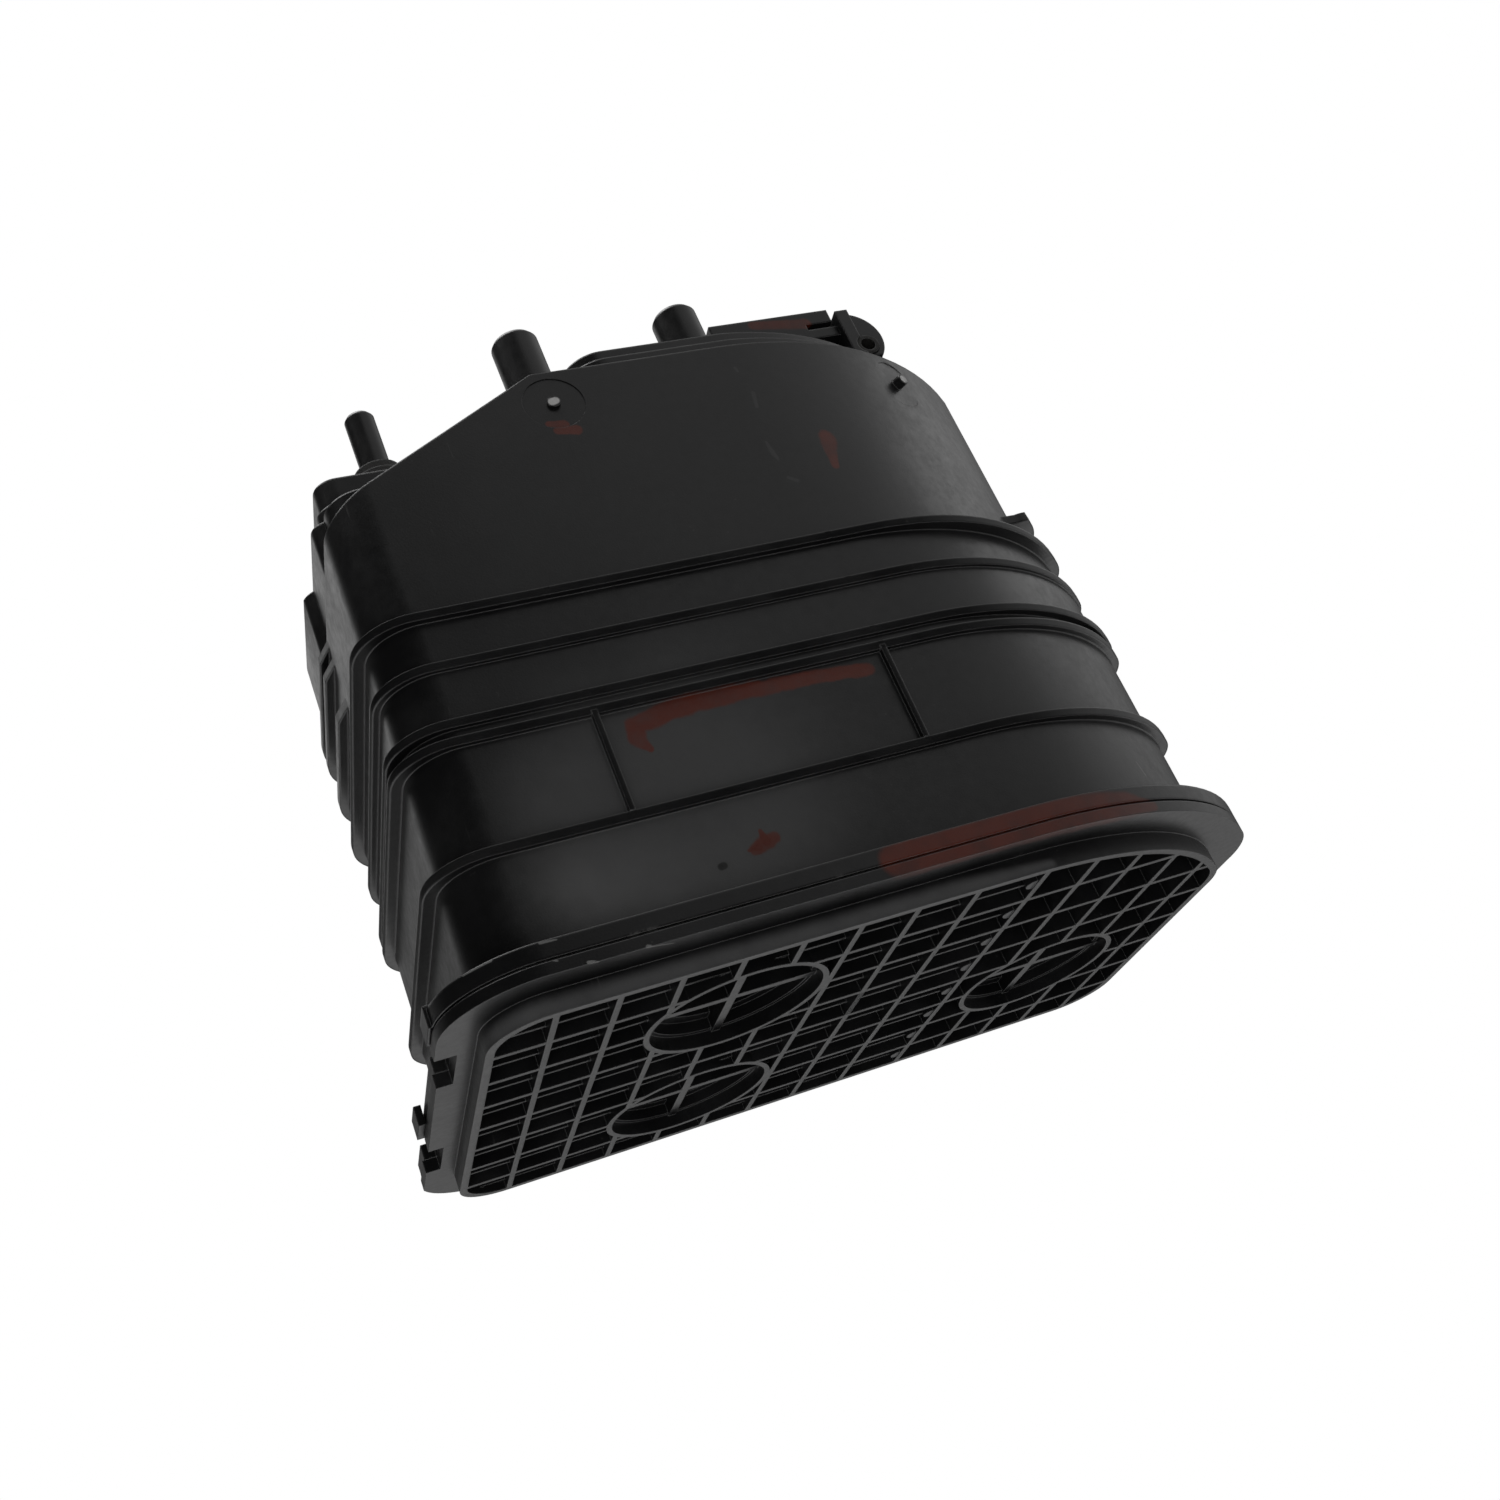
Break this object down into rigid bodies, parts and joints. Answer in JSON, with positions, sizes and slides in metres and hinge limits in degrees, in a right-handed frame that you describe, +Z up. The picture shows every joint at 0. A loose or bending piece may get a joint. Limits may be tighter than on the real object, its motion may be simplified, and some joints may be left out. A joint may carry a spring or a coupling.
{
  "type": "fuel vapour charcoal canister",
  "caption": "Black moulded box with raised belts, a ribbed cover below and hose nipples on top, that stores fuel vapour in charcoal for a vehicle engine.",
  "frame": {"origin": "crossing of the middle ribs of the bottom cover, on the plane of the rib ends that the part stands on", "axes": "+Z up from the cover to the nipples, -Y out of the broad front face, +X to the right towards the end with the long curve"},
  "size_m": [0.2194, 0.1481, 0.1996],
  "materials": {
    "shell": "satin black moulded plastic, brown stains and scuffs",
    "cover": "satin black moulded plastic, worn rib ends",
    "cap": "satin black moulded plastic",
    "clip": "satin black moulded plastic",
    "ring": "dull black rubber",
    "collar": "dull black rubber",
    "carbon": "matt black charcoal granules",
    "felt": "soft pale felt",
    "plate": "satin black moulded plastic",
    "spring": "bright drawn wire"
  },
  "bodies": {
    "root": {"housing": "shell", "bottom_cover": "cover", "top_cap": "cap", "arm_clip": "clip", "clip_ring": "ring", "purge_collar": "collar", "main_carbon": "carbon", "vent_carbon": "carbon", "main_upper_pad": "felt", "main_lower_pad": "felt", "vent_upper_pad": "felt", "vent_lower_pad": "felt", "main_plate": "plate", "vent_plate": "plate", "spring_front": "spring", "spring_back": "spring", "spring_right": "spring"}
  },
  "joints": []
}
